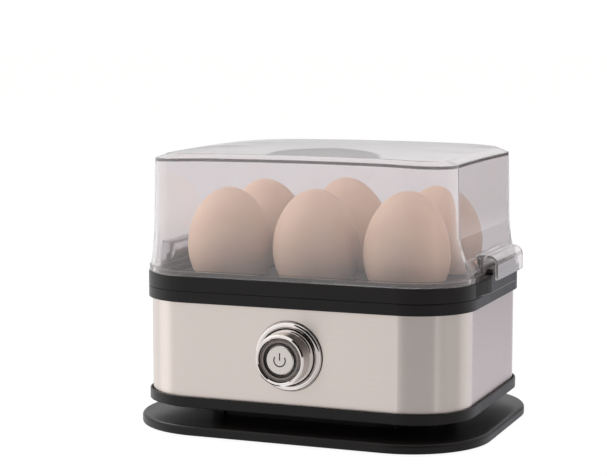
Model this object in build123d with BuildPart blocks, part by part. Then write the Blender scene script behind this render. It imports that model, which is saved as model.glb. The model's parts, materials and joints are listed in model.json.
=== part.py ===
from build123d import *
import os

os.makedirs("parts", exist_ok=True)

# Table-top steam egg boiler for six eggs.
# Millimetres. +Z is up, the front with its button faces -Y.
# The origin is under the middle of the boiler with its button, on the surface that it stands on.

# Steel band: the outline that every casing part follows
band_length = 174.0
band_depth = 134.7
band_radius = 29.8
band_wall = 0.8
fit_gap = 0.3

# Heights of the stack
foot_drop = 1.0
plate_top = 6.0
pan_base = 13.9
lip_base = 14.8
pan_floor = 16.4
lip_top = 20.0
collar_base = 69.0
band_top = 71.8
collar_top = 74.8
rim_top = 82.5
flange_top = 85.6

# Foot plate and cord spool
plate_length = 190.2
plate_depth = 149.2
plate_radius = 43.4
plate_skin = 2.2
spool_length = 126.0
spool_depth = 86.0
spool_radius = 27.0
spool_wall = 2.6
foot_x = 72.0
foot_y = 51.0
foot_radius = 7.0
foot_recess = 1.6
foot_screw_x = 48.0
foot_screw_y = 28.0

# Casing parts, as growth from the steel band's outline
lip_grow = 1.7
lip_wall = 0.9
collar_grow = 1.9
rib_height = 1.1
rib_width = 1.4
casing_wall = 1.8
body_screw_x = 68.0
body_screw_y = 48.0
post_radius = 4.0
boss_radius = 5.2
boss_height = 7.4

# Water dish
dish_length = 140.0
dish_depth = 100.0
dish_radius = 22.0
dish_wall = 0.8
dish_base = 60.2
dish_flange = 6.4
dish_rim = 74.5
gasket_height = 0.9
dish_draft = 8.0

# Egg tray
tray_floor_base = 76.3
tray_floor_top = 78.5
tray_wall = 3.6
tray_hollow_grow = -3.7
seat_pitch_x = 49.5
seat_pitch_y = 51.0
seat_radius = 18.6
seat_hole_radius = 15.6
ear_half_width = 24.5
ear_reach = 93.0
ear_base = 75.2
ear_top = 84.8
grip_top = 87.7

# Clear lid
lid_wall = 1.7
flare_length = 174.8
flare_depth = 137.2
flare_radius = 30.0
waist_length = 164.8
waist_depth = 136.2
waist_radius = 22.0
waist_height = 105.0
lid_top_length = 162.4
lid_top_depth = 135.5
lid_top_radius = 21.3
lid_crown = 146.2
crown_roll = 3200.0
rim_drop = 1.9
rim_width = 5.9
hood_reach = 96.1
hood_half_width = 24.8
hood_top = 94.9
hood_plate = 88.4
hood_wall = 1.3

# Push button on the front
button_height = 44.8
bezel_radius = 17.8
bezel_flange = 2.6
barrel_radius = 14.4
face_radius = 13.0
button_reach = 13.7
tail_radius = 12.8
ring_radius = 11.2
ring_bore = 8.0
cap_radius = 7.4
stem_radius = 3.0
button_travel = 1.5

front = -band_depth / 2
button_face = front - button_reach

# The casing's middle, which puts the frame's origin under the middle of the whole boiler
middle_y = (band_depth / 2 + button_reach - plate_depth / 2) / 2


def level(height):
    # Horizontal plane over the casing's middle
    return Plane(origin=(0, middle_y, height))


def across(y):
    # Upright plane that faces the front, at y from the casing's middle
    return Plane(origin=(0, middle_y + y, 0), x_dir=(1, 0, 0), z_dir=(0, -1, 0))


def beside(x):
    # Upright plane that faces the right side
    return Plane(origin=(x, middle_y, 0), x_dir=(0, 1, 0), z_dir=(1, 0, 0))


def casing_outline(grow, height):
    # The steel band's outline, grown outwards, at a height
    with BuildSketch(level(height)) as outline:
        RectangleRounded(band_length + 2 * grow, band_depth + 2 * grow, band_radius + grow)
    return outline.sketch


def rounded_outline(length, depth, radius, height):
    with BuildSketch(level(height)) as outline:
        RectangleRounded(length, depth, radius)
    return outline.sketch


def corners(x, y):
    # The four places (+-x, +-y)
    return GridLocations(2 * x, 2 * y, 2, 2)


def spots(x, y, radius, height):
    # Four discs at (+-x, +-y), at a height
    with BuildSketch(level(height)) as discs:
        with corners(x, y):
            Circle(radius)
    return discs.sketch


# ---------------------------------------------------------------- foot plate
with BuildPart() as foot_plate:
    extrude(rounded_outline(plate_length, plate_depth, plate_radius, foot_drop), amount=plate_top - foot_drop)
    fillet(foot_plate.edges().group_by(Axis.Z)[-1], radius=1.8)
    fillet(foot_plate.edges().group_by(Axis.Z)[0], radius=0.7)
    # hollow underside, with a skirt round the edge
    inner_length = plate_length - 2 * plate_skin - 3
    inner_depth = plate_depth - 2 * plate_skin - 3
    hollow = rounded_outline(inner_length, inner_depth, plate_radius - plate_skin - 1.5, foot_drop)
    extrude(hollow, amount=plate_top - foot_drop - plate_skin, mode=Mode.SUBTRACT)
    # ribs across the underside
    with BuildSketch(level(foot_drop + 0.6)) as ribs:
        with GridLocations(30, 0, 5, 1):
            Rectangle(1.6, inner_depth)
        with GridLocations(0, 30, 1, 3):
            Rectangle(inner_length, 1.6)
    extrude(ribs.sketch, amount=plate_top - foot_drop - plate_skin - 0.6)
    # pads that carry the rubber feet, and bosses round the screws
    extrude(spots(foot_x, foot_y, foot_radius + 2.2, foot_drop), amount=plate_top - foot_drop - 1)
    extrude(spots(foot_x, foot_y, foot_radius + 0.2, foot_drop), amount=foot_recess, mode=Mode.SUBTRACT)
    extrude(spots(foot_screw_x, foot_screw_y, 5.5, foot_drop), amount=plate_top - foot_drop - 1)
    extrude(spots(foot_screw_x, foot_screw_y, 3.4, foot_drop), amount=2.6, mode=Mode.SUBTRACT)
    extrude(spots(foot_screw_x, foot_screw_y, 1.7, foot_drop), amount=plate_top, mode=Mode.SUBTRACT)
foot_plate.part.label = "foot_plate"
export_step(foot_plate.part, "parts/foot_plate.step")

# --------------------------------------------------------------- rubber feet
for side_name, side in (("left", -1), ("right", 1)):
    for end_name, end in (("front", -1), ("rear", 1)):
        with BuildPart() as rubber_foot:
            with BuildSketch(level(0)):
                with Locations((side * foot_x, end * foot_y)):
                    Circle(foot_radius)
            extrude(amount=foot_drop + foot_recess)
            fillet(rubber_foot.edges().group_by(Axis.Z)[0], radius=0.6)
        rubber_foot.part.label = f"rubber_foot_{end_name}_{side_name}"
        export_step(rubber_foot.part, f"parts/rubber_foot_{end_name}_{side_name}.step")

# --------------------------------------------------------------- foot screws
with BuildPart() as foot_screws:
    extrude(spots(foot_screw_x, foot_screw_y, 2.9, foot_drop + 0.6), amount=2.0)
    extrude(spots(foot_screw_x, foot_screw_y, 1.45, foot_drop + 2.6), amount=19.0)
    chamfer(foot_screws.edges().group_by(Axis.Z)[-1], length=0.6)
    with BuildSketch(level(foot_drop + 0.6)) as drive:
        with corners(foot_screw_x, foot_screw_y):
            Rectangle(3.4, 0.7)
            Rectangle(0.7, 3.4)
    extrude(drive.sketch, amount=1.0, mode=Mode.SUBTRACT)
foot_screws.part.label = "foot_screws"
export_step(foot_screws.part, "parts/foot_screws.step")

# ---------------------------------------------------------------- cord spool
# Ring between foot plate and pan. The mains lead winds round it.
gland_width = 11.0
gland_bore = 3.1
gland_height = (plate_top + pan_base) / 2
with BuildPart() as cord_spool:
    spool_height = pan_base - plate_top
    extrude(rounded_outline(spool_length, spool_depth, spool_radius, plate_top), amount=spool_height)
    spool_hollow = rounded_outline(
        spool_length - 2 * spool_wall, spool_depth - 2 * spool_wall, spool_radius - spool_wall, plate_top
    )
    extrude(spool_hollow, amount=spool_height, mode=Mode.SUBTRACT)
    # sleeves round the foot plate's screws, webbed to the wall
    with BuildSketch(level(plate_top)) as sleeves:
        with corners(foot_screw_x, foot_screw_y):
            Circle(4.2)
        for side in (-1, 1):
            with Locations((side * foot_screw_x, 0)):
                Rectangle(1.8, spool_depth - 2)
    extrude(sleeves.sketch, amount=spool_height)
    extrude(spots(foot_screw_x, foot_screw_y, 1.7, plate_top), amount=spool_height, mode=Mode.SUBTRACT)
    # notch in the back wall that takes the gland
    with BuildSketch(level(plate_top)) as notch:
        with Locations((0, spool_depth / 2 - spool_wall / 2)):
            Rectangle(gland_width - 3, spool_wall + 2)
    extrude(notch.sketch, amount=spool_height, mode=Mode.SUBTRACT)
cord_spool.part.label = "cord_spool"
export_step(cord_spool.part, "parts/cord_spool.step")

# ---------------------------------------------------------------- cord gland
# Grooved block that slides into the spool's notch. The lead leaves through its bore.
with BuildPart() as cord_gland:
    gland_inner = spool_depth / 2 - spool_wall
    with BuildSketch(level(plate_top)) as gland_plan:
        with Locations((0, gland_inner + spool_wall / 2)):
            Rectangle(gland_width - 3, spool_wall)
        with Locations((0, gland_inner - 1.5)):
            Rectangle(gland_width, 3)
        with Locations((0, gland_inner + spool_wall + 1.2)):
            Rectangle(gland_width, 2.4)
    extrude(gland_plan.sketch, amount=pan_base - plate_top)
    fillet(cord_gland.faces().sort_by(Axis.Y)[-1].edges().filter_by(Axis.Z), radius=1.0)
    with BuildSketch(across(spool_depth)) as bore:
        with Locations((0, gland_height)):
            Circle(gland_bore)
    extrude(bore.sketch, amount=spool_depth, mode=Mode.SUBTRACT)
cord_gland.part.label = "cord_gland"
export_step(cord_gland.part, "parts/cord_gland.step")

# ------------------------------------------------------------------ base pan
with BuildPart() as base_pan:
    extrude(casing_outline(lip_grow - 2.6, pan_base), amount=pan_floor - pan_base)
    # lip that stands round the band's foot
    extrude(casing_outline(lip_grow, lip_base), amount=lip_top - lip_base)
    fillet(base_pan.faces().filter_by(GeomType.PLANE).sort_by(Axis.Z)[-1].outer_wire().edges(), radius=0.4)
    extrude(casing_outline(lip_grow - lip_wall, pan_floor), amount=lip_top, mode=Mode.SUBTRACT)
    # wall that locates the band from inside
    extrude(casing_outline(-band_wall - fit_gap, pan_floor), amount=9)
    extrude(casing_outline(-band_wall - fit_gap - casing_wall, pan_floor), amount=9, mode=Mode.SUBTRACT)
    # bosses for the foot plate's screws and for the screws that reach up to the collar
    extrude(spots(foot_screw_x, foot_screw_y, 4.0, pan_floor), amount=8)
    extrude(spots(foot_screw_x, foot_screw_y, 1.5, pan_base), amount=9.4, mode=Mode.SUBTRACT)
    extrude(spots(body_screw_x, body_screw_y, boss_radius, pan_floor), amount=boss_height)
    extrude(spots(body_screw_x, body_screw_y, 3.4, pan_base), amount=6.4, mode=Mode.SUBTRACT)
    extrude(spots(body_screw_x, body_screw_y, 1.7, pan_base), amount=12, mode=Mode.SUBTRACT)
    # hole for the lead and air slots in the floor
    with BuildSketch(level(pan_base)) as floor_holes:
        with Locations((0, 30)):
            SlotOverall(20, 9)
        with Locations((0, -8)):
            with GridLocations(7, 0, 8, 1):
                SlotOverall(22, 3, rotation=90)
    extrude(floor_holes.sketch, amount=4, mode=Mode.SUBTRACT)
base_pan.part.label = "base_pan"
export_step(base_pan.part, "parts/base_pan.step")

# --------------------------------------------------------------- body screws
with BuildPart() as body_screws:
    extrude(spots(body_screw_x, body_screw_y, 3.0, pan_base + 4.2), amount=2.2)
    extrude(spots(body_screw_x, body_screw_y, 1.45, pan_base + 6.4), amount=18)
    chamfer(body_screws.edges().group_by(Axis.Z)[-1], length=0.6)
    with BuildSketch(level(pan_base + 4.2)) as drive:
        with corners(body_screw_x, body_screw_y):
            Rectangle(3.6, 0.7)
            Rectangle(0.7, 3.6)
    extrude(drive.sketch, amount=1.1, mode=Mode.SUBTRACT)
body_screws.part.label = "body_screws"
export_step(body_screws.part, "parts/body_screws.step")

# ---------------------------------------------------------------- steel band
with BuildPart() as steel_band:
    extrude(casing_outline(0, pan_floor), amount=band_top - pan_floor)
    extrude(casing_outline(-band_wall, pan_floor), amount=band_top - pan_floor, mode=Mode.SUBTRACT)
    with BuildSketch(across(front + 5)) as button_hole:
        with Locations((0, button_height)):
            Circle(tail_radius + 0.3)
    extrude(button_hole.sketch, amount=10, mode=Mode.SUBTRACT)
steel_band.part.label = "steel_band"
export_step(steel_band.part, "parts/steel_band.step")

# -------------------------------------------------------------------- collar
with BuildPart() as collar:
    extrude(casing_outline(collar_grow, collar_base), amount=collar_top - collar_base)
    fillet(collar.edges().group_by(Axis.Z)[-1], radius=0.5)
    # low rib that centres the egg tray
    rib_grow = tray_hollow_grow - fit_gap
    extrude(casing_outline(rib_grow, collar_top), amount=rib_height)
    extrude(casing_outline(rib_grow - rib_width, collar_top), amount=rib_height, mode=Mode.SUBTRACT)
    # groove underneath that takes the band's top edge
    extrude(casing_outline(fit_gap, collar_base), amount=band_top - collar_base, mode=Mode.SUBTRACT)
    # inner skirt behind the band
    extrude(casing_outline(-band_wall - fit_gap, collar_base - 6), amount=band_top - collar_base + 6)
    extrude(
        casing_outline(-band_wall - fit_gap - casing_wall, collar_base - 6),
        amount=band_top - collar_base + 6,
        mode=Mode.SUBTRACT,
    )
    # posts for the body screws
    post_foot = pan_floor + boss_height
    extrude(spots(body_screw_x, body_screw_y, post_radius, post_foot), amount=band_top - post_foot)
    extrude(spots(body_screw_x, body_screw_y, 1.5, post_foot), amount=16, mode=Mode.SUBTRACT)
    # opening for the dish, and the rebate that its flange lies in
    opening = rounded_outline(dish_length + 4, dish_depth + 4, dish_radius + 2, collar_base - 10)
    extrude(opening, amount=40, mode=Mode.SUBTRACT)
    rebate_length = dish_length + 2 * dish_flange + 1
    rebate_depth = dish_depth + 2 * dish_flange + 1
    rebate_base = dish_rim - dish_wall - gasket_height
    rebate = rounded_outline(rebate_length, rebate_depth, dish_radius + dish_flange + 0.5, rebate_base)
    extrude(rebate, amount=10, mode=Mode.SUBTRACT)
collar.part.label = "collar"
export_step(collar.part, "parts/collar.step")

# --------------------------------------------------------------- dish gasket
with BuildPart() as dish_gasket:
    gasket_length = dish_length + 2 * dish_flange - 0.6
    gasket_depth = dish_depth + 2 * dish_flange - 0.6
    gasket = rounded_outline(gasket_length, gasket_depth, dish_radius + dish_flange - 0.3, rebate_base)
    extrude(gasket, amount=gasket_height)
    gasket_hole = rounded_outline(dish_length + 4.4, dish_depth + 4.4, dish_radius + 2.2, rebate_base)
    extrude(gasket_hole, amount=gasket_height, mode=Mode.SUBTRACT)
dish_gasket.part.label = "dish_gasket"
export_step(dish_gasket.part, "parts/dish_gasket.step")

# -------------------------------------------------------------- heating dish
# Pressed dish that holds the water. Its flange lies on the gasket.
with BuildPart() as water_space:
    water_surface = rounded_outline(dish_length, dish_depth, dish_radius, dish_rim)
    extrude(water_surface, amount=-(dish_rim - dish_base - dish_wall), taper=dish_draft)
    fillet(water_space.edges().group_by(Axis.Z)[0], radius=2.4)
    # the dish's floor is pressed up a little over the heater
    with BuildSketch(level(dish_base + dish_wall)) as pressing:
        RectangleRounded(92, 56, 20)
    extrude(pressing.sketch, amount=1.2, taper=30, mode=Mode.SUBTRACT)
with BuildPart() as heating_dish:
    dish_outside = rounded_outline(
        dish_length + 2 * dish_wall, dish_depth + 2 * dish_wall, dish_radius + dish_wall, dish_rim
    )
    extrude(dish_outside, amount=-(dish_rim - dish_base), taper=dish_draft)
    fillet(heating_dish.edges().group_by(Axis.Z)[0], radius=3.0)
    flange = rounded_outline(
        dish_length + 2 * dish_flange, dish_depth + 2 * dish_flange, dish_radius + dish_flange, dish_rim
    )
    extrude(flange, amount=-dish_wall)
    add(water_space.part, mode=Mode.SUBTRACT)
heating_dish.part.label = "heating_dish"
export_step(heating_dish.part, "parts/heating_dish.step")

# -------------------------------------------------------------- heater plate
plate_half_width = 32.0
heater_plate_base = dish_base - 3.0
fuse_screw_y = 6.2
with BuildPart() as heater_plate:
    extrude(rounded_outline(104, 2 * plate_half_width, 16, heater_plate_base), amount=3.0)
    # tapped holes for the thermostat bracket, the fuse clip and the earth lug
    with BuildSketch(level(heater_plate_base)) as taps:
        with GridLocations(0, 2 * 26, 1, 2):
            Circle(1.35)
        with Locations((-29, fuse_screw_y), (-42, 24)):
            Circle(1.35)
    extrude(taps.sketch, amount=2.2, mode=Mode.SUBTRACT)
heater_plate.part.label = "heater_plate"
export_step(heater_plate.part, "parts/heater_plate.step")

# -------------------------------------------------------------- heater tube
# Sheathed element bent to a U, flattened where it is pressed on the plate.
tube_width = 7.0
tube_height = 6.0
tube_centre = heater_plate_base - tube_height / 2
bend_radius = 13.5
tube_end_x = -38.0
with BuildPart() as heater_tube:
    with BuildSketch(level(heater_plate_base - tube_height)) as tube_plan:
        with BuildLine():
            run = bend_radius + tube_width / 2
            Line((tube_end_x, -run), (28, -run))
            ThreePointArc((28, -run), (28 + run, 0), (28, run))
            Line((28, run), (tube_end_x, run))
            inner = run - tube_width
            Line((tube_end_x, run), (tube_end_x, inner))
            Line((tube_end_x, inner), (28, inner))
            ThreePointArc((28, inner), (28 + inner, 0), (28, -inner))
            Line((28, -inner), (tube_end_x, -inner))
            Line((tube_end_x, -inner), (tube_end_x, -run))
        make_face()
    extrude(tube_plan.sketch, amount=tube_height)
    fillet(heater_tube.edges().group_by(Axis.Z)[0].filter_by(Axis.Y, reverse=True), radius=2.6)
heater_tube.part.label = "heater_tube"
export_step(heater_tube.part, "parts/heater_tube.step")

# --------------------------------------------------------- heater terminals
pin_length = 5.0
tab_length = 8.0
with BuildPart() as heater_terminals:
    with BuildSketch(beside(tube_end_x)) as pins:
        with Locations((-bend_radius, tube_centre), (bend_radius, tube_centre)):
            Circle(1.3)
    extrude(pins.sketch, amount=-pin_length)
    with BuildSketch(level(tube_centre - 0.4)) as tabs:
        with GridLocations(0, 2 * bend_radius, 1, 2):
            with Locations((tube_end_x - pin_length - tab_length / 2 + 1, 0)):
                Rectangle(tab_length, 6.3)
    extrude(tabs.sketch, amount=0.8)
heater_terminals.part.label = "heater_terminals"
export_step(heater_terminals.part, "parts/heater_terminals.step")

# ---------------------------------------------------------------- thermostat
thermostat_base = heater_plate_base - 9.0
with BuildPart() as thermostat:
    with BuildSketch(level(thermostat_base)):
        Circle(8.0)
    extrude(amount=6.5)
    with BuildSketch(level(thermostat_base + 6.5)):
        Circle(7.2)
    extrude(amount=2.5)
    fillet(thermostat.edges().group_by(Axis.Z)[-1], radius=0.6)
    # blade terminals to either side
    with BuildSketch(level(thermostat_base + 2.0)) as blades:
        Rectangle(30, 4.8)
    extrude(blades.sketch, amount=0.8)
thermostat.part.label = "thermostat"
export_step(thermostat.part, "parts/thermostat.step")

# -------------------------------------------------------- thermostat bracket
# Spring strip that presses the thermostat against the heater plate.
strip = 1.0
with BuildPart() as thermostat_bracket:
    with BuildSketch(beside(-5)) as strip_profile:
        with BuildLine():
            Polyline(
                (-30, heater_plate_base - strip / 2),
                (-22, heater_plate_base - strip / 2),
                (-20, thermostat_base - strip / 2),
                (20, thermostat_base - strip / 2),
                (22, heater_plate_base - strip / 2),
                (30, heater_plate_base - strip / 2),
            )
        trace(line_width=strip)
    extrude(strip_profile.sketch, amount=10)
    with BuildSketch(level(heater_plate_base - 2)) as strip_holes:
        with GridLocations(0, 2 * 26, 1, 2):
            Circle(1.7)
    extrude(strip_holes.sketch, amount=4, mode=Mode.SUBTRACT)
thermostat_bracket.part.label = "thermostat_bracket"
export_step(thermostat_bracket.part, "parts/thermostat_bracket.step")

# ------------------------------------------------------------ bracket screws
with BuildPart() as bracket_screws:
    with BuildSketch(level(heater_plate_base - strip - 2.0)) as heads:
        with GridLocations(0, 2 * 26, 1, 2):
            Circle(2.8)
    extrude(heads.sketch, amount=2.0)
    with BuildSketch(level(heater_plate_base - strip)) as shanks:
        with GridLocations(0, 2 * 26, 1, 2):
            Circle(1.3)
    extrude(shanks.sketch, amount=3.0)
bracket_screws.part.label = "bracket_screws"
export_step(bracket_screws.part, "parts/bracket_screws.step")

# -------------------------------------------------------------- thermal fuse
fuse_radius = 2.2
fuse_z = heater_plate_base - 3.4
fuse_left = -36.0
fuse_length = 14.0
fuse_middle = fuse_left + fuse_length / 2
with BuildPart() as thermal_fuse:
    with BuildSketch(beside(fuse_left)) as fuse_body:
        with Locations((0, fuse_z)):
            Circle(fuse_radius)
    extrude(fuse_body.sketch, amount=fuse_length)
    fillet(thermal_fuse.edges().filter_by(GeomType.CIRCLE), radius=0.5)
thermal_fuse.part.label = "thermal_fuse"
export_step(thermal_fuse.part, "parts/thermal_fuse.step")

# ----------------------------------------------------------------- fuse clip
# Strip bent over the fuse, with one foot screwed to the heater plate.
clip_width = 7.0
saddle = fuse_radius + 0.1 + strip / 2
with BuildPart() as fuse_clip:
    with BuildSketch(beside(fuse_middle - clip_width / 2)) as clip_profile:
        with BuildLine():
            Line((9.3, heater_plate_base - strip / 2), (saddle, heater_plate_base - strip / 2))
            Line((saddle, heater_plate_base - strip / 2), (saddle, fuse_z))
            ThreePointArc((saddle, fuse_z), (0, fuse_z - saddle), (-saddle, fuse_z))
            Line((-saddle, fuse_z), (-saddle, heater_plate_base - 0.5))
        trace(line_width=strip)
    extrude(clip_profile.sketch, amount=clip_width)
    with BuildSketch(level(heater_plate_base - 2)) as clip_hole:
        with Locations((fuse_middle, fuse_screw_y)):
            Circle(1.7)
    extrude(clip_hole.sketch, amount=2, mode=Mode.SUBTRACT)
    # trimmed flush with the plate's underside
    with BuildSketch(level(heater_plate_base)) as above_plate:
        with Locations((fuse_middle, 0)):
            Rectangle(20, 24)
    extrude(above_plate.sketch, amount=3, mode=Mode.SUBTRACT)
fuse_clip.part.label = "fuse_clip"
export_step(fuse_clip.part, "parts/fuse_clip.step")

# ----------------------------------------------------------- fuse clip screw
with BuildPart() as fuse_clip_screw:
    with BuildSketch(level(heater_plate_base - strip - 1.8)) as clip_head:
        with Locations((fuse_middle, fuse_screw_y)):
            Circle(2.4)
    extrude(clip_head.sketch, amount=1.8)
    with BuildSketch(level(heater_plate_base - strip)) as clip_shank:
        with Locations((fuse_middle, fuse_screw_y)):
            Circle(1.3)
    extrude(clip_shank.sketch, amount=3.0)
fuse_clip_screw.part.label = "fuse_clip_screw"
export_step(fuse_clip_screw.part, "parts/fuse_clip_screw.step")

# ---------------------------------------------------- earth lug and its screw
lug_x = -42.0
lug_y = 24.0
barrel_z = heater_plate_base - 1.6
with BuildPart() as earth_lug:
    with BuildSketch(level(heater_plate_base - 0.8)) as lug_ring:
        with Locations((lug_x, lug_y)):
            Circle(3.8)
            Circle(1.6, mode=Mode.SUBTRACT)
    extrude(lug_ring.sketch, amount=0.8)
    with BuildSketch(beside(lug_x - 6.4)) as lug_barrel:
        with Locations((lug_y, barrel_z)):
            Circle(1.6)
    extrude(lug_barrel.sketch, amount=3.4)
earth_lug.part.label = "earth_lug"
export_step(earth_lug.part, "parts/earth_lug.step")

with BuildPart() as earth_screw:
    with BuildSketch(level(heater_plate_base - 2.8)) as earth_head:
        with Locations((lug_x, lug_y)):
            Circle(2.4)
    extrude(earth_head.sketch, amount=2.0)
    with BuildSketch(level(heater_plate_base - 0.8)) as earth_shank:
        with Locations((lug_x, lug_y)):
            Circle(1.3)
    extrude(earth_shank.sketch, amount=2.8)
earth_screw.part.label = "earth_screw"
export_step(earth_screw.part, "parts/earth_screw.step")

# ------------------------------------------------------------ terminal block
block_x = -26.0
block_y = 16.0
block_height = 14.0
with BuildPart() as terminal_block:
    with BuildSketch(level(pan_floor)) as block_plan:
        with Locations((block_x, block_y)):
            RectangleRounded(34, 16, 1.5)
    extrude(block_plan.sketch, amount=block_height - 4)
    with BuildSketch(level(pan_floor + block_height - 4)) as turrets:
        with Locations((block_x, block_y)):
            with GridLocations(11, 0, 3, 1):
                RectangleRounded(8.5, 14, 1.2)
    extrude(turrets.sketch, amount=4)
    # wire entries through the block, and the screw wells above them
    with BuildSketch(across(block_y + 10)) as entries:
        with Locations((block_x, pan_floor + 7)):
            with GridLocations(11, 0, 3, 1):
                Circle(1.9)
    extrude(entries.sketch, amount=20, mode=Mode.SUBTRACT)
    with BuildSketch(level(pan_floor + 7)) as wells:
        with Locations((block_x, block_y)):
            with GridLocations(11, 6, 3, 2):
                Circle(1.7)
    extrude(wells.sketch, amount=8, mode=Mode.SUBTRACT)
terminal_block.part.label = "terminal_block"
export_step(terminal_block.part, "parts/terminal_block.step")

# ---------------------------------------------------------------- cord clamp
# Bridge on two posts, over the place where the lead comes up through the floor.
clamp_y = 40.0
with BuildPart() as cord_clamp:
    with BuildSketch(across(clamp_y + 4)) as clamp_profile:
        with BuildLine():
            Polyline(
                (-14, pan_floor),
                (-14, pan_floor + 6),
                (14, pan_floor + 6),
                (14, pan_floor),
                (5, pan_floor),
            )
            ThreePointArc((5, pan_floor), (0, pan_floor + 3.2), (-5, pan_floor))
            Line((-5, pan_floor), (-14, pan_floor))
        make_face()
    extrude(clamp_profile.sketch, amount=8)
    with BuildSketch(level(pan_floor)) as clamp_holes:
        with Locations((0, clamp_y)):
            with GridLocations(19, 0, 2, 1):
                Circle(1.7)
    extrude(clamp_holes.sketch, amount=10, mode=Mode.SUBTRACT)
    fillet(cord_clamp.edges().filter_by(Axis.Y).group_by(Axis.Z)[-1], radius=1.2)
cord_clamp.part.label = "cord_clamp"
export_step(cord_clamp.part, "parts/cord_clamp.step")

# -------------------------------------------------------------- clamp screws
with BuildPart() as clamp_screws:
    with BuildSketch(level(pan_floor + 6)) as clamp_heads:
        with Locations((0, clamp_y)):
            with GridLocations(19, 0, 2, 1):
                Circle(2.8)
    extrude(clamp_heads.sketch, amount=2.0)
    fillet(clamp_screws.edges().group_by(Axis.Z)[-1], radius=0.7)
    with BuildSketch(level(pan_floor)) as clamp_shanks:
        with Locations((0, clamp_y)):
            with GridLocations(19, 0, 2, 1):
                Circle(1.5)
    extrude(clamp_shanks.sketch, amount=6.0)
clamp_screws.part.label = "clamp_screws"
export_step(clamp_screws.part, "parts/clamp_screws.step")

# --------------------------------------------------------------- inner wires
# Straight runs joined by arcs. Each ends on the terminal that it serves.
wire_radius = 1.2
entry_z = pan_floor + 7
blade_z = thermostat_base + 2.4
switch_z = button_height - 1.2
wire_routes = (
    ("live_wire", 4.0, ((-15, 12, entry_z), (-15, -6, entry_z), (-3, -6, switch_z), (-3, -32.75, switch_z))),
    (
        "switched_wire",
        4.0,
        ((3, -32.75, switch_z), (3, -20, switch_z), (24, -20, switch_z), (24, 0, blade_z), (15, 0, blade_z)),
    ),
    ("fuse_wire", 1.5, ((-15, 0, blade_z), (-17, 0, blade_z), (-20, 0, fuse_z), (-22, 0, fuse_z))),
    (
        "heater_wire",
        4.0,
        (
            (-36, 0, fuse_z),
            (-58, 0, fuse_z),
            (-58, -bend_radius, tube_centre),
            (-50, -bend_radius, tube_centre),
        ),
    ),
    (
        "neutral_wire",
        4.0,
        (
            (-26, 12, entry_z),
            (-26, 0, entry_z),
            (-60, 0, entry_z),
            (-60, bend_radius, tube_centre),
            (-50, bend_radius, tube_centre),
        ),
    ),
    (
        "earth_wire",
        3.0,
        (
            (-37, 12, entry_z),
            (-37, 4, entry_z),
            (-47, 4, entry_z),
            (-54, lug_y, 44),
            (-54, lug_y, barrel_z),
            (lug_x - 6.4, lug_y, barrel_z),
        ),
    ),
)
for wire_name, bend, route in wire_routes:
    with BuildPart() as wire:
        with BuildLine(level(0)) as path:
            FilletPolyline(*route, radius=bend)
        with BuildSketch(Plane(origin=path.line @ 0, z_dir=path.line % 0)) as wire_end:
            Circle(wire_radius)
        sweep(wire_end.sketch, path=path.line)
    wire.part.label = wire_name
    export_step(wire.part, f"parts/{wire_name}.step")

# -------------------------------------------------------------- button bezel
# Turned chrome part: flange on the band's face, tapering barrel, tail through the band.
# Profiles of the button are drawn as (distance from the button's axis, Y).
button_plane = level(button_height)
button_axis = Axis((0, middle_y, button_height), (0, 1, 0))
ring_depth = 4.0
shelf_radius = 9.8
tail_end = front + 14.0
shelf = button_face + ring_depth
switch_front = tail_end + 0.6
actuator_length = 1.6
with BuildPart() as button_bezel:
    with BuildSketch(button_plane) as bezel_profile:
        with BuildLine():
            Polyline(
                (shelf_radius, tail_end),
                (shelf_radius, shelf),
                (ring_radius + 0.1, shelf),
                (ring_radius + 0.1, button_face + 0.4),
                (ring_radius + 0.5, button_face),
                (face_radius - 0.7, button_face),
                (face_radius, button_face + 0.7),
                (barrel_radius, front - bezel_flange + 0.5),
                (barrel_radius + 0.3, front - bezel_flange + 0.5),
            )
            # the flange is domed between its groove and its rim
            ThreePointArc(
                (barrel_radius + 0.3, front - bezel_flange + 0.5),
                (barrel_radius + 1.5, front - bezel_flange),
                (bezel_radius, front - 0.9),
            )
            Polyline(
                (bezel_radius, front - 0.9),
                (bezel_radius, front),
                (tail_radius, front),
                (tail_radius, tail_end),
                (shelf_radius, tail_end),
            )
        make_face()
    revolve(bezel_profile.sketch, axis=button_axis)
button_bezel.part.label = "button_bezel"
export_step(button_bezel.part, "parts/button_bezel.step")

# ------------------------------------------------------------ indicator ring
# Smoked light ring on the bezel's shelf, with fine teeth moulded round its face.
ring_front = button_face + 1.3
ring_teeth = 60
with BuildPart() as indicator_ring:
    with BuildSketch(button_plane) as ring_profile:
        with BuildLine():
            Polyline(
                (ring_bore, shelf),
                (ring_bore, ring_front + 0.9),
                (ring_bore + 0.9, ring_front + 0.9),
                (ring_bore + 0.9, ring_front),
                (ring_radius - 0.4, ring_front),
                (ring_radius, ring_front + 0.4),
                (ring_radius, shelf),
                close=True,
            )
        make_face()
    revolve(ring_profile.sketch, axis=button_axis)
    with BuildSketch(across(ring_front + 0.25)) as tooth_gaps:
        with Locations((0, button_height)):
            with PolarLocations(ring_radius - 0.9, ring_teeth):
                Rectangle(1.1, 0.45)
    extrude(tooth_gaps.sketch, amount=0.5, mode=Mode.SUBTRACT)
indicator_ring.part.label = "indicator_ring"
export_step(indicator_ring.part, "parts/indicator_ring.step")

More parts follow.
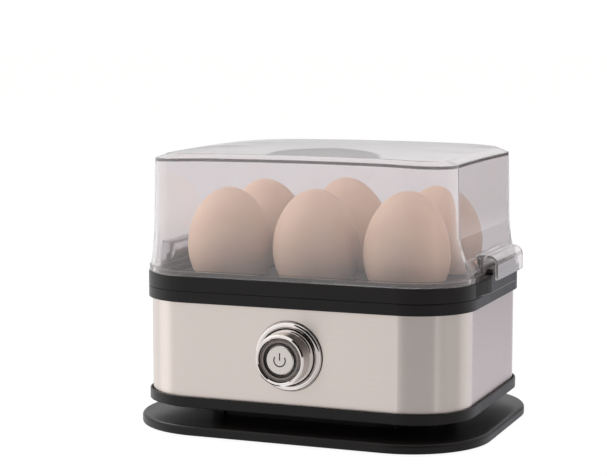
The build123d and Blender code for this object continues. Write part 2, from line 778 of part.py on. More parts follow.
# ---------------------------------------------------------------- lamp board
board_back = shelf + 6.0
board_radius = shelf_radius - 0.15
with BuildPart() as lamp_board:
    with BuildSketch(across(board_back)) as board_plan:
        with Locations((0, button_height)):
            Circle(board_radius)
            Circle(stem_radius + 3.6, mode=Mode.SUBTRACT)
    extrude(board_plan.sketch, amount=1.2)
    with BuildSketch(across(board_back - 1.2)) as lamps:
        with Locations((0, button_height)):
            with PolarLocations(8.3, 8):
                Rectangle(1.4, 1.2)
    extrude(lamps.sketch, amount=0.8)
lamp_board.part.label = "lamp_board"
export_step(lamp_board.part, "parts/lamp_board.step")

# ---------------------------------------------------------------- button cap
cap_front = button_face + 0.9
cap_back = cap_front + 2.2
with BuildPart() as button_cap:
    with BuildSketch(button_plane) as cap_profile:
        with BuildLine():
            Polyline(
                (0, cap_back),
                (0, cap_front),
                (cap_radius - 0.5, cap_front),
                (cap_radius, cap_front + 0.5),
                (cap_radius, cap_back),
                close=True,
            )
        make_face()
    revolve(cap_profile.sketch, axis=button_axis)
button_cap.part.label = "button_cap"
export_step(button_cap.part, "parts/button_cap.step")

# ------------------------------------------------------------ button plunger
# Stem behind the cap. Its flange is caught behind the indicator ring, and its spring
# pushes on the shoulder behind that. The tip reaches the switch at the end of the travel.
flange_front = shelf + 0.1
spring_front = shelf + 1.8
carrier_front = tail_end - 2.0
plunger_tip = switch_front - actuator_length - button_travel - 0.1
with BuildPart() as button_plunger:
    with BuildSketch(button_plane) as plunger_profile:
        with BuildLine():
            Polyline(
                (0, cap_back),
                (6.0, cap_back),
                (6.0, flange_front),
                (9.2, flange_front),
                (9.2, flange_front + 1.0),
                (5.2, flange_front + 1.0),
                (5.2, spring_front),
                (1.8, spring_front),
                (1.8, plunger_tip),
                (0, plunger_tip),
                close=True,
            )
        make_face()
    revolve(plunger_profile.sketch, axis=button_axis)
button_plunger.part.label = "button_plunger"
export_step(button_plunger.part, "parts/button_plunger.step")

# ------------------------------------------------------------- button spring
spring_turns = 6
spring_wire = 0.5
spring_radius = 3.2
spring_length = carrier_front - spring_front - spring_wire - 0.1
with BuildPart() as button_spring:
    with BuildLine() as coil:
        Helix(
            pitch=spring_length / spring_turns,
            height=spring_length,
            radius=spring_radius,
            center=(0, middle_y + spring_front + spring_wire / 2 + 0.05, button_height),
            direction=(0, 1, 0),
        )
    with BuildSketch(Plane(origin=coil.line @ 0, z_dir=coil.line % 0)) as wire_section:
        Circle(spring_wire / 2)
    sweep(wire_section.sketch, path=coil.line, is_frenet=True)
button_spring.part.label = "button_spring"
export_step(button_spring.part, "parts/button_spring.step")

# ------------------------------------------------------------ switch carrier
# Cup pressed into the bezel's tail. It holds the switch and backs the spring.
with BuildPart() as switch_carrier:
    with BuildSketch(across(carrier_front)) as carrier_plan:
        with Locations((0, button_height)):
            Circle(shelf_radius)
    extrude(carrier_plan.sketch, amount=-2.0)
    with BuildSketch(across(tail_end)) as carrier_flange:
        with Locations((0, button_height)):
            Circle(tail_radius)
    extrude(carrier_flange.sketch, amount=-1.6)
    with BuildSketch(across(tail_end + 1.6)) as carrier_frame:
        with Locations((0, button_height)):
            RectangleRounded(16, 16, 1.5)
    extrude(carrier_frame.sketch, amount=-5.0)
    with BuildSketch(across(tail_end + 0.6)) as switch_pocket:
        with Locations((0, button_height)):
            Rectangle(12.2, 12.2)
    extrude(switch_pocket.sketch, amount=-10.0, mode=Mode.SUBTRACT)
    with BuildSketch(across(carrier_front - 1)) as stem_hole:
        with Locations((0, button_height)):
            Circle(2.2)
    extrude(stem_hole.sketch, amount=-8.0, mode=Mode.SUBTRACT)
switch_carrier.part.label = "switch_carrier"
export_step(switch_carrier.part, "parts/switch_carrier.step")

# --------------------------------------------------------------- switch body
with BuildPart() as switch_body:
    with BuildSketch(across(switch_front)) as switch_plan:
        with Locations((0, button_height)):
            Rectangle(12, 12)
    extrude(switch_plan.sketch, amount=-13.0)
    chamfer(switch_body.faces().sort_by(Axis.Y)[-1].edges(), length=0.8)
    # actuator that the plunger's stem pushes
    with BuildSketch(across(switch_front)) as actuator:
        with Locations((0, button_height)):
            Circle(1.6)
    extrude(actuator.sketch, amount=actuator_length)
    # blade terminals at the back
    with BuildSketch(across(switch_front + 13)) as switch_blades:
        with Locations((0, button_height)):
            with GridLocations(6, 0, 2, 1):
                Rectangle(0.8, 4.8)
    extrude(switch_blades.sketch, amount=-7)
switch_body.part.label = "switch_body"
export_step(switch_body.part, "parts/switch_body.step")

# ----------------------------------------------------------------- bezel nut
with BuildPart() as bezel_nut:
    with BuildSketch(across(front + band_wall)) as nut_plan:
        with Locations((0, button_height)):
            RegularPolygon(radius=17.6, side_count=6)
            Circle(tail_radius, mode=Mode.SUBTRACT)
    extrude(nut_plan.sketch, amount=-4.5)
bezel_nut.part.label = "bezel_nut"
export_step(bezel_nut.part, "parts/bezel_nut.step")

# ------------------------------------------------------------------ egg tray
with BuildPart() as egg_tray:
    extrude(casing_outline(collar_grow, collar_top), amount=rim_top - collar_top)
    fillet(egg_tray.edges().group_by(Axis.Z)[0], radius=0.5)
    fillet(egg_tray.edges().group_by(Axis.Z)[-1], radius=0.6)
    extrude(casing_outline(collar_grow - tray_wall - 4.2, tray_floor_top), amount=10, mode=Mode.SUBTRACT)
    # the underside is hollow inside the rim's foot
    extrude(
        casing_outline(tray_hollow_grow, collar_top),
        amount=tray_floor_base - collar_top,
        mode=Mode.SUBTRACT,
    )
    # spigot that centres the lid
    extrude(casing_outline(-3.0, rim_top - 1), amount=2.6)
    extrude(casing_outline(-4.5, rim_top - 1), amount=2.6, mode=Mode.SUBTRACT)
    # six seats: a dished ring round each hole
    with BuildSketch(level(tray_floor_top)) as seat_rings:
        with GridLocations(seat_pitch_x, seat_pitch_y, 3, 2):
            Circle(seat_radius + 1.8)
    extrude(seat_rings.sketch, amount=1.2)
    with Locations(level(tray_floor_top + 1.2)):
        with GridLocations(seat_pitch_x, seat_pitch_y, 3, 2):
            Cone(
                seat_hole_radius,
                seat_radius,
                tray_floor_top + 1.2 - tray_floor_base,
                align=(Align.CENTER, Align.CENTER, Align.MAX),
                mode=Mode.SUBTRACT,
            )
    # steam slots between the seats
    with BuildSketch(level(tray_floor_base)) as steam_slots:
        with GridLocations(seat_pitch_x, 0, 2, 1):
            SlotOverall(14, 4, rotation=90)
        with Locations((-3 * seat_pitch_x / 2 + 1, 0), (3 * seat_pitch_x / 2 - 1, 0)):
            SlotOverall(12, 4, rotation=90)
    extrude(steam_slots.sketch, amount=4, mode=Mode.SUBTRACT)
    # ears on the short sides, each with a raised finger grip
    rim_side = band_length / 2 + collar_grow
    for side in (-1, 1):
        with BuildSketch(across(ear_half_width)) as ear_profile:
            with BuildLine():
                Polyline(
                    (side * (rim_side - 2), ear_base),
                    (side * (ear_reach - 1.2), ear_base),
                    (side * ear_reach, ear_base + 1.2),
                    (side * ear_reach, ear_top - 0.5),
                    (side * (ear_reach - 0.5), ear_top),
                    (side * (ear_reach - 0.5), grip_top - 0.8),
                    (side * (ear_reach - 1.3), grip_top),
                    (side * (hood_plate + 1.4), grip_top),
                    (side * (hood_plate + 0.6), grip_top - 0.8),
                    (side * (hood_plate + 0.6), rim_top - 0.5),
                    (side * (rim_side - 2), rim_top - 0.5),
                    close=True,
                )
            make_face()
        extrude(ear_profile.sketch, amount=2 * ear_half_width)
        # the grip is shorter than the ear that it stands on
        with BuildSketch(level(ear_top)) as grip_ends:
            with Locations(
                (side * (ear_reach - 2), ear_half_width - 1), (side * (ear_reach - 2), 1 - ear_half_width)
            ):
                Rectangle(8, 5)
        extrude(grip_ends.sketch, amount=5, mode=Mode.SUBTRACT)
egg_tray.part.label = "egg_tray"
export_step(egg_tray.part, "parts/egg_tray.step")


# ----------------------------------------------------------------- clear lid
def crown_block(height):
    # Block under the lid's crown: an arch along the length, rolled about a far axis
    # so that it also falls a little towards the front and the back.
    with BuildPart() as block:
        with BuildSketch(across(0)) as arch:
            with BuildLine():
                middle = ThreePointArc((-45, height - 0.35), (0, height), (45, height - 0.35))
                right = TangentArc((45, height - 0.35), (90, height - 2.9), tangent=middle % 1)
                left = TangentArc((-45, height - 0.35), (-90, height - 2.9), tangent=-(middle % 0))
                Polyline(right @ 1, (90, rim_top), (-90, rim_top), left @ 1)
            make_face()
        for direction in (-1, 1):
            roll_axis = Axis((0, middle_y, height - crown_roll), (direction, 0, 0))
            revolve(arch.sketch, axis=roll_axis, revolution_arc=1.5)
    return block.part


def lid_shape(inset):
    # Flared foot, drafted walls and a crown with a sloping rim.
    # inset moves all its faces inwards, which gives the inside of the lid.
    def section(length, depth, radius, height):
        return rounded_outline(length - 2 * inset, depth - 2 * inset, radius - inset, height)

    with BuildPart() as body:
        foot = section(flare_length, flare_depth, flare_radius, flange_top)
        waist = section(waist_length, waist_depth, waist_radius, waist_height)
        loft([foot, section(168.8, 136.7, 25.4, 95.0), waist])
        loft([waist, section(lid_top_length, lid_top_depth, lid_top_radius, lid_crown + 4)])
        add(crown_block(lid_crown - inset), mode=Mode.INTERSECT)
        crown = body.faces().filter_by(
            lambda face: face.center().Z > lid_crown - 8 and face.normal_at().Z > 0.9
        )
        outer_edges = crown.edges().filter_by(
            lambda edge: abs(edge.center().X) > 60 or abs(edge.center().Y - middle_y) > 40
        )
        chamfer(outer_edges, length=rim_width, length2=rim_drop)
    return body.part


outer_shape = lid_shape(0)
inner_shape = lid_shape(lid_wall)
with BuildPart() as lid:
    add(outer_shape)
    extrude(rounded_outline(176.8, 137.5, 31.2, rim_top), amount=flange_top - rim_top)
    # hoods over the tray's ears
    for side in (-1, 1):
        with BuildSketch(across(hood_half_width)) as hood:
            with Locations((side * (60 + hood_reach) / 2, (rim_top + hood_top) / 2)):
                Rectangle(hood_reach - 60, hood_top - rim_top)
            fillet(hood.vertices().group_by(Axis.Y)[-1].sort_by(Axis.X)[0 if side < 0 else -1], radius=4.7)
        extrude(hood.sketch, amount=2 * hood_half_width)
    add(inner_shape, mode=Mode.SUBTRACT)
    foot_space = rounded_outline(
        flare_length - 2 * lid_wall, flare_depth - 2 * lid_wall, flare_radius - lid_wall, rim_top
    )
    extrude(foot_space, amount=flange_top - rim_top, mode=Mode.SUBTRACT)
    for side in (-1, 1):
        # pocket that opens into the lid
        with BuildSketch(level(rim_top)) as pocket:
            with Locations((side * (hood_plate - 1.5 - 8), 0)):
                Rectangle(16, 2 * (hood_half_width - 1.6))
        extrude(pocket.sketch, amount=hood_top - 1.7 - rim_top, mode=Mode.SUBTRACT)
        # arch that the ear's grip stands in, open at both ends
        with BuildSketch(across(hood_half_width + 1)) as arch:
            low = rim_top - 1
            high = hood_top - hood_wall
            outer = hood_reach - hood_wall
            with Locations((side * (hood_plate + outer) / 2, (low + high) / 2)):
                Rectangle(outer - hood_plate, high - low)
            fillet(arch.vertices().group_by(Axis.Y)[-1].sort_by(Axis.X)[0 if side < 0 else -1], radius=3.3)
        extrude(arch.sketch, amount=2 * hood_half_width + 2, mode=Mode.SUBTRACT)
lid.part.label = "lid"
export_step(lid.part, "parts/lid.step")
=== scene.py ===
import json
import math

import bpy
import numpy as np
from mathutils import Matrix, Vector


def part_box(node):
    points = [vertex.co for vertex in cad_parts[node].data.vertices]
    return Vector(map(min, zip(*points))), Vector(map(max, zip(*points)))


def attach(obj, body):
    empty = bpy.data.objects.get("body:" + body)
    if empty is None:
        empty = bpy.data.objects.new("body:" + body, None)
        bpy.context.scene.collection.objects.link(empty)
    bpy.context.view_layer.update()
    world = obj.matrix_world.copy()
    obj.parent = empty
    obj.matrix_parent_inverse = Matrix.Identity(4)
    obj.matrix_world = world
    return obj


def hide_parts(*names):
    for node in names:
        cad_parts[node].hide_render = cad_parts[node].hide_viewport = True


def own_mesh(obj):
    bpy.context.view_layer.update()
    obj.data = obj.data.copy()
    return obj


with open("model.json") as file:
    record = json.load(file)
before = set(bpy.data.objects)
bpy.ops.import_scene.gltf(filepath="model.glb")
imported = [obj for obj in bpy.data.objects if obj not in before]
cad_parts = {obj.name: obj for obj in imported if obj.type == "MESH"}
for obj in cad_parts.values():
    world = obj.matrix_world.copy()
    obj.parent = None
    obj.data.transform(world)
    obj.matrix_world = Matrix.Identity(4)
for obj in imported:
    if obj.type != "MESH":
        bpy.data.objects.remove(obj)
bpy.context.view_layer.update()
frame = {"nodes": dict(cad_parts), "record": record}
nodes = frame["nodes"]
slotOf = {row["node"]: row["material_slot"] for row in frame["record"]["subparts"]}

mm = 0.001
middleY = 3.225  # the casing's middle, in mm from the frame's origin
axisHeight = 44.8  # of the push button, in mm
leastRoughness = 0.02
white = (1.0, 1.0, 1.0, 1.0)
colourA, colourB, colourOut = 6, 7, 2  # sockets of a Mix node that mixes colours


def linear(hexText):
    # sRGB hex to linear RGBA
    parts = np.array([int(hexText[i:i + 2], 16) for i in (1, 3, 5)]) / 255
    low = parts / 12.92
    high = ((parts + 0.055) / 1.055) ** 2.4
    return (*np.where(parts <= 0.04045, low, high).tolist(), 1.0)


def connect(tree, node, links):
    # each input gets a value or another node's output
    for name, value in links.items():
        if isinstance(value, bpy.types.NodeSocket):
            tree.links.new(value, node.inputs[name])
        else:
            node.inputs[name].default_value = value


def addNode(tree, kind, links=None, **settings):
    # settings are the node's own options, links its inputs
    made = tree.nodes.new(kind)
    for name, value in settings.items():
        setattr(made, name, value)
    connect(tree, made, links or {})
    return made


def newMaterial(name):
    # an unset Principled material, with the Object coordinates that its patterns read
    material = bpy.data.materials.new(name)
    material.use_nodes = True
    tree = material.node_tree
    tree.nodes.clear()
    shader = addNode(tree, "ShaderNodeBsdfPrincipled")
    addNode(tree, "ShaderNodeOutputMaterial", {"Surface": shader.outputs[0]})
    place = addNode(tree, "ShaderNodeTexCoord").outputs["Object"]
    return material, tree, shader, place


def patchyGloss(tree, place, sizeMm, detail, roughness, swing, span=(0.3, 0.7)):
    # a noise pattern of that size, and a roughness that goes up and down with it by the swing
    pattern = addNode(
        tree, "ShaderNodeTexNoise", {"Vector": place, "Scale": 1 / (sizeMm * mm), "Detail": detail}
    ).outputs["Fac"]
    gloss = addNode(
        tree,
        "ShaderNodeMapRange",
        {
            "Value": pattern,
            "From Min": span[0],
            "From Max": span[1],
            "To Min": max(leastRoughness, roughness - swing),
            "To Max": roughness + swing,
        },
    )
    return pattern, gloss.outputs["Result"]


def softRelief(tree, pattern, strength, depthMm, softMm):
    # a pattern in relief, on edges that look a little round, so that they catch the light
    edges = addNode(tree, "ShaderNodeBevel", {"Radius": softMm * mm}, samples=4)
    relief = addNode(
        tree,
        "ShaderNodeBump",
        {
            "Height": pattern,
            "Strength": strength,
            "Distance": depthMm * mm,
            "Normal": edges.outputs["Normal"],
        },
    )
    return relief.outputs["Normal"]


plastic = {
    "cloudMm": 30.0,
    "cloudDetail": 3.0,
    "swing": 0.04,
    "grainDetail": 2.0,
    "strength": 0.12,
    "depthMm": 0.02,
    "softMm": 0.4,
}


def mouldedPlastic(name, colour, roughness, ior=1.46, grainMm=0.35):
    # Injection-moulded plastic, and rubber and ceramic pressed in a mould: even colour,
    # fine spark-eroded grain, slight gloss changes and soft edges
    material, tree, shader, place = newMaterial(name)
    grain = addNode(
        tree,
        "ShaderNodeTexNoise",
        {"Vector": place, "Scale": 1 / (grainMm * mm), "Detail": plastic["grainDetail"]},
    )
    relief = softRelief(
        tree, grain.outputs["Fac"], plastic["strength"], plastic["depthMm"], plastic["softMm"]
    )
    gloss = patchyGloss(
        tree, place, plastic["cloudMm"], plastic["cloudDetail"], roughness, plastic["swing"]
    )[1]
    connect(
        tree,
        shader,
        {"Base Color": linear(colour), "Roughness": gloss, "IOR": ior, "Normal": relief},
    )
    return material


metal = {"detail": 4.0, "swing": 0.06, "span": (0.25, 0.75)}


def plainMetal(name, colour, roughness, scratchMm=0.6):
    # Rolled, cast or plated metal: fine uneven gloss
    material, tree, shader, place = newMaterial(name)
    gloss = patchyGloss(
        tree, place, scratchMm, metal["detail"], roughness, metal["swing"], metal["span"]
    )[1]
    connect(tree, shader, {"Base Color": linear(colour), "Metallic": 1.0, "Roughness": gloss})
    return material


brushed = {
    "colour": "#e0d5cf",
    "roughness": 0.3,
    "swing": 0.03,
    "lineMm": 0.12,
    "runMm": 55.56,
    "detail": 3.0,
    "strength": 0.03,
    "depthMm": 0.01,
    "anisotropy": 0.9,
    "turn": 0.25,  # of a full turn
}


def brushedSteel():
    # Belt-brushed stainless: grain lines run level round the band and draw highlights upright
    material, tree, shader, place = newMaterial("brushedStainless")
    slim = brushed["lineMm"] / brushed["runMm"]
    level = addNode(tree, "ShaderNodeMapping", {"Vector": place, "Scale": (slim, slim, 1.0)})
    lines, gloss = patchyGloss(
        tree,
        level.outputs["Vector"],
        brushed["lineMm"],
        brushed["detail"],
        brushed["roughness"],
        brushed["swing"],
    )
    relief = addNode(
        tree,
        "ShaderNodeBump",
        {"Height": lines, "Strength": brushed["strength"], "Distance": brushed["depthMm"] * mm},
    )
    around = addNode(tree, "ShaderNodeTangent", direction_type="RADIAL", axis="Z")
    connect(
        tree,
        shader,
        {
            "Base Color": linear(brushed["colour"]),
            "Metallic": 1.0,
            "Roughness": gloss,
            "Anisotropic": brushed["anisotropy"],
            "Anisotropic Rotation": brushed["turn"],
            "Tangent": around.outputs["Tangent"],
            "Normal": relief.outputs["Normal"],
        },
    )
    return material


clear = {
    "colour": "#e7e4e6",
    "roughness": 0.012,
    "ior": 1.5,
    "through": 0.95,
    "waveMm": 20.0,
    "detail": 1.0,
    "strength": 0.02,
    "depthMm": 0.2,
    "softMm": 0.5,
}


def clearPlastic():
    # Moulded clear polycarbonate: glossy, with a faint grey-violet tint, long shallow waves
    # and a trace of haze
    material, tree, shader, place = newMaterial("clearPolycarbonate")
    waves = addNode(
        tree,
        "ShaderNodeTexNoise",
        {"Vector": place, "Scale": 1 / (clear["waveMm"] * mm), "Detail": clear["detail"]},
    )
    relief = softRelief(
        tree, waves.outputs["Fac"], clear["strength"], clear["depthMm"], clear["softMm"]
    )
    connect(
        tree,
        shader,
        {
            "Base Color": linear(clear["colour"]),
            "Roughness": clear["roughness"],
            "IOR": clear["ior"],
            "Transmission Weight": clear["through"],
            "Normal": relief,
        },
    )
    return material


ring = {
    "face": "#7c7775",
    # the groove colour is painted shade: the dark that falls in the groove round the cap
    "groove": "#262323",
    "tick": "#3d3939",
    "grooveRadius": 8.95,
    "tickRadius": 9.9,
    "ticks": 72,
    "tickShare": 0.4,
    "roughness": 0.3,
    "ior": 1.49,
}


def tickedAcrylic():
    # Smoked light guide: a grey face with fine ticks at its rim, and round the cap a dark band that
    # is painted shade of the groove there
    material, tree, shader, place = newMaterial("smokedAcrylic")
    low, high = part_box("indicator_ring")
    toCentre = [-value for value in (low + high) / 2]
    centred = addNode(tree, "ShaderNodeMapping", {"Vector": place, "Location": toCentre})
    centred = centred.outputs["Vector"]
    axes = addNode(tree, "ShaderNodeSeparateXYZ", {0: centred})
    flat = addNode(
        tree, "ShaderNodeVectorMath", {0: centred, 1: (1.0, 0.0, 1.0)}, operation="MULTIPLY"
    )
    radius = addNode(tree, "ShaderNodeVectorMath", {0: flat.outputs[0]}, operation="LENGTH")
    radius = radius.outputs["Value"]
    angle = addNode(
        tree, "ShaderNodeMath", {0: axes.outputs["X"], 1: axes.outputs["Z"]}, operation="ARCTAN2"
    )
    count = addNode(
        tree,
        "ShaderNodeMath",
        {0: angle.outputs[0], 1: ring["ticks"] / math.tau},
        operation="MULTIPLY",
    )
    phase = addNode(tree, "ShaderNodeMath", {0: count.outputs[0]}, operation="FRACT")
    narrow = addNode(
        tree, "ShaderNodeMath", {0: phase.outputs[0], 1: ring["tickShare"]}, operation="LESS_THAN"
    )
    outer = addNode(
        tree, "ShaderNodeMath", {0: radius, 1: ring["tickRadius"] * mm}, operation="GREATER_THAN"
    )
    # painted shade: inside the groove's radius the ring takes the dark groove colour
    shadedGroove = addNode(
        tree, "ShaderNodeMath", {0: radius, 1: ring["grooveRadius"] * mm}, operation="LESS_THAN"
    )
    tick = addNode(
        tree, "ShaderNodeMath", {0: narrow.outputs[0], 1: outer.outputs[0]}, operation="MULTIPLY"
    )
    face = addNode(
        tree,
        "ShaderNodeMix",
        {"Factor": tick.outputs[0], colourA: linear(ring["face"]), colourB: linear(ring["tick"])},
        data_type="RGBA",
    )
    tone = addNode(
        tree,
        "ShaderNodeMix",
        {
            "Factor": shadedGroove.outputs[0],
            colourA: face.outputs[colourOut],
            colourB: linear(ring["groove"]),
        },
        data_type="RGBA",
    )
    connect(
        tree,
        shader,
        {
            "Base Color": tone.outputs[colourOut],
            "Roughness": ring["roughness"],
            "IOR": ring["ior"],
        },
    )
    return material


print("materials")
finishes = {
    # plastics and rubbers of the casing: deep black with a soft sheen, dull rubber, the clear lid
    "black_plastic": mouldedPlastic("blackPolypropylene", "#110f0f", 0.36, ior=1.35),
    "foot_rubber": mouldedPlastic("footRubber", "#1f1f20", 0.75, ior=1.3),
    "gland_rubber": mouldedPlastic("glandRubber", "#1a1a1a", 0.7, ior=1.3),
    "gasket_rubber": mouldedPlastic("siliconeGasket", "#b9b5ac", 0.55),
    "clear_plastic": clearPlastic(),
    # metals of the casing, and the light ring: warm brushed steel, mirror chrome, a satin cap
    "band_steel": brushedSteel(),
    "bezel_chrome": plainMetal("chromePlate", "#efe9e6", 0.07, 2.0),
    "cap_metal": plainMetal("satinZinc", "#e6dfda", 0.35, 0.3),
    "dish_metal": plainMetal("pressedStainless", "#c8c6c3", 0.3, 15.0),
    "smoked_plastic": tickedAcrylic(),
    # below the casing and inside it
    "screw_steel": plainMetal("zincPlate", "#c9ccce", 0.28),
    "heater_aluminium": plainMetal("castAluminium", "#b9babb", 0.45, 0.9),
    "terminal_brass": plainMetal("terminalBrass", "#d8b56a", 0.3),
    "bracket_steel": plainMetal("springStrip", "#aeb0b2", 0.3),
    "spring_steel": plainMetal("springWire", "#a9abad", 0.3),
    "thermostat_ceramic": mouldedPlastic("steatite", "#ddd8cb", 0.6),
    "fuse_ceramic": mouldedPlastic("fuseCeramic", "#e9e7df", 0.45),
    "block_plastic": mouldedPlastic("naturalNylon", "#dedbd2", 0.5),
    "plunger_plastic": mouldedPlastic("acetal", "#c9c8c4", 0.4),
    "switch_plastic": mouldedPlastic("blackNylon", "#232324", 0.5),
    "board_green": mouldedPlastic("boardLaminate", "#2c5a36", 0.4),
    "wire_brown": mouldedPlastic("brownSleeving", "#5b3323", 0.4, grainMm=0.8),
    "wire_blue": mouldedPlastic("blueSleeving", "#2f5fa8", 0.4, grainMm=0.8),
    "wire_green": mouldedPlastic("greenSleeving", "#5f9a3b", 0.4, grainMm=0.8),
}
for name, part in nodes.items():
    part.data.materials.clear()
    part.data.materials.append(finishes[slotOf[name]])
nodes["lid"].visible_shadow = False  # lets the lamps reach what stands under the lid


def ringFaces(rows, count, closed=False):
    # quads between neighbouring rings of count points; closed also joins the last to the first
    grid = np.arange(rows * count).reshape(rows, count)
    lower = grid if closed else grid[:-1]
    upper = np.roll(grid, -1, 0) if closed else grid[1:]
    quads = np.stack([lower, np.roll(lower, -1, 1), np.roll(upper, -1, 1), upper], -1)
    return quads.reshape(-1, 4).tolist()


def tubeFaces(rows, count):
    # the same rings, with a face over the first and the last
    first = np.arange(count)
    return ringFaces(rows, count) + [first[::-1].tolist(), (first + (rows - 1) * count).tolist()]


def addPiece(name, points, faces, material, body, smooth=False):
    # a new piece from points in mm, which moves with a body
    mesh = bpy.data.meshes.new(name)
    mesh.from_pydata((points * mm).tolist(), [], faces)
    mesh.polygons.foreach_set("use_smooth", np.full(len(mesh.polygons), smooth))
    mesh.materials.append(material)
    piece = bpy.data.objects.new(name, mesh)
    bpy.context.scene.collection.objects.link(piece)
    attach(piece, body)
    return piece


print("eggs")
egg = {
    "radius": 22.7,
    "below": 27.0,
    "middle": 94.0,
    "taper": 0.07,
    "rings": 70,
    "columns": 96,
    # place, height above the middle and lean towards +X of each
    "places": {
        "eggFrontLeft": ((-49.7, -25.5), 31.1, -0.02),
        "eggFrontMiddle": ((-1.2, -25.5), 31.8, -0.01),
        "eggFrontRight": ((48.6, -25.5), 32.3, 0.01),
        "eggRearLeft": ((-49.5, 25.5), 31.3, -0.045),
        "eggRearMiddle": ((0.0, 25.5), 33.5, -0.09),
        "eggRearRight": ((49.0, 25.5), 30.7, 0.02),
    },
    "colour": "#cab3a2",
    "blotch": "#bfa390",
    "blotchMm": 12.0,
    "blotchDetail": 5.0,
    "poreMm": 0.5,
    "poreDetail": 2.0,
    "poreStrength": 0.15,
    "poreDepthMm": 0.05,
    "roughness": 0.55,
    "ior": 1.4,
    "glow": 0.15,
    "glowDepth": (0.004, 0.002, 0.001),  # of red, green and blue light, in metres
}


def eggShell():
    # Hen's eggshell: matt, faintly blotched, finely pored, and it lets a little light through
    material, tree, shader, place = newMaterial("eggshell")
    blotches = addNode(
        tree,
        "ShaderNodeTexNoise",
        {"Vector": place, "Scale": 1 / (egg["blotchMm"] * mm), "Detail": egg["blotchDetail"]},
    )
    pores = addNode(
        tree,
        "ShaderNodeTexNoise",
        {"Vector": place, "Scale": 1 / (egg["poreMm"] * mm), "Detail": egg["poreDetail"]},
    )
    tone = addNode(
        tree,
        "ShaderNodeMix",
        {
            "Factor": blotches.outputs["Fac"],
            colourA: linear(egg["colour"]),
            colourB: linear(egg["blotch"]),
        },
        data_type="RGBA",
    )
    relief = addNode(
        tree,
        "ShaderNodeBump",
        {
            "Height": pores.outputs["Fac"],
            "Strength": egg["poreStrength"],
            "Distance": egg["poreDepthMm"] * mm,
        },
    )
    connect(
        tree,
        shader,
        {
            "Base Color": tone.outputs[colourOut],
            "Roughness": egg["roughness"],
            "IOR": egg["ior"],
            "Subsurface Weight": egg["glow"],
            "Subsurface Radius": egg["glowDepth"],
            "Normal": relief.outputs["Normal"],
        },
    )
    return material


def addEgg(name, centre, above, lean, material):
    # reach = radius cos t, less a taper towards the top; height = below or above times sin t
    rows, columns = egg["rings"], egg["columns"]
    t = np.linspace(-np.pi / 2, np.pi / 2, rows + 2)[1:-1]
    u = np.linspace(0, 2 * np.pi, columns, endpoint=False)
    reach = egg["radius"] * np.cos(t) * (1 - egg["taper"] * np.clip(np.sin(t), 0, 1) ** 2)
    height = np.sin(t) * np.where(t < 0, egg["below"], above)
    x = reach[:, None] * np.cos(u)
    y = reach[:, None] * np.sin(u)
    z = np.repeat(height[:, None], columns, 1)
    points = np.stack([x, y, z], -1).reshape(-1, 3)
    points = np.vstack([points, [0, 0, -egg["below"]], [0, 0, above]])
    points[:, 0] += points[:, 2] * lean
    points += np.array([centre[0], centre[1] + middleY, egg["middle"]])
    # the last two points close the shell at its foot and its tip
    first = np.arange(columns)
    last = first + (rows - 1) * columns
    foot = np.full(columns, rows * columns)
    fans = [
        np.stack([foot, np.roll(first, -1), first], -1),
        np.stack([foot + 1, last, np.roll(last, -1)], -1),
    ]
    faces = ringFaces(rows, columns) + np.vstack(fans).tolist()
    piece = addPiece(name, points, faces, material, "tray", smooth=True)


eggMaterial = eggShell()
for name, (centre, above, lean) in egg["places"].items():
    addEgg(name, centre, above, lean, eggMaterial)

print("button seals")
# thin black rubber beads round the bezel's flange and at the barrel's foot; being black, they also
# paint the shade in these gaps as dark lines
sealShade = {
    "steps": 96,
    "corners": 12,
    # radius round the button's axis, how far before the steel, and the radius of the bead
    "rings": {"bezelSeal": (17.75, 0.3, 0.26), "barrelSeal": (14.5, 2.7, 0.2)},
}
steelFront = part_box("steel_band")[0][1] / mm  # where the bezel's flange meets the band
for name, (radius, before, bead) in sealShade["rings"].items():
    # a small circle carried round the button's axis
    turn = np.linspace(0, math.tau, sealShade["steps"], endpoint=False)
    around = np.linspace(0, math.tau, sealShade["corners"], endpoint=False)
    far = radius + bead * np.cos(around)
    x = far * np.cos(turn)[:, None]
    y = np.broadcast_to(steelFront - before + bead * np.sin(around), x.shape)
    z = far * np.sin(turn)[:, None] + axisHeight
    points = np.stack([x, y, z], -1).reshape(-1, 3)
    faces = ringFaces(*x.shape, closed=True)
    piece = addPiece(name, points, faces, finishes["foot_rubber"], "base", smooth=True)


def sweep(path, side, front, corners):
    # each corner (a, b) of a profile goes to path + a side + b front, closed round and at its ends
    across = corners[:, 0, None] * side[:, None]
    out = corners[:, 1, None] * front[:, None]
    points = path[:, None] + across + out
    return points.reshape(-1, 3), tubeFaces(len(path), len(corners))


print("power mark")
mark = {
    "radius": 3.05,
    "gap": 58,  # degrees from the top to where the arc starts
    "barTop": 3.7,
    "width": 0.64,
    "rise": 0.03,
    "sunk": 0.02,
    "steps": 48,
}
capLow, capHigh = (np.array(corner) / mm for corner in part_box("button_cap"))
capFace = np.array([0.0, capLow[1], (capLow[2] + capHigh[2]) / 2])
half, sunk, rise = mark["width"] / 2, mark["sunk"], mark["rise"]
stripe = np.array([[-half, -sunk], [half, -sunk], [half, rise], [-half, rise]])
toFront = np.array([[0.0, -1.0, 0.0]])
toRight = np.array([[1.0, 0.0, 0.0]])
turn = np.radians(np.linspace(mark["gap"], 360 - mark["gap"], mark["steps"]))
spoke = np.stack([np.sin(turn), 0 * turn, np.cos(turn)], -1)
arc, arcFaces = sweep(capFace + mark["radius"] * spoke, spoke, toFront, stripe)
bar, barFaces = sweep(
    capFace + np.array([[0, 0, 0], [0, 0, mark["barTop"]]]), toRight, toFront, stripe
)
powerMark = addPiece(
    "powerMark",
    np.vstack([arc, bar]),
    arcFaces + [[index + len(arc) for index in face] for face in barFaces],
    mouldedPlastic("printedInk", "#2a2625", 0.5),
    "button",
)

print("return spring")
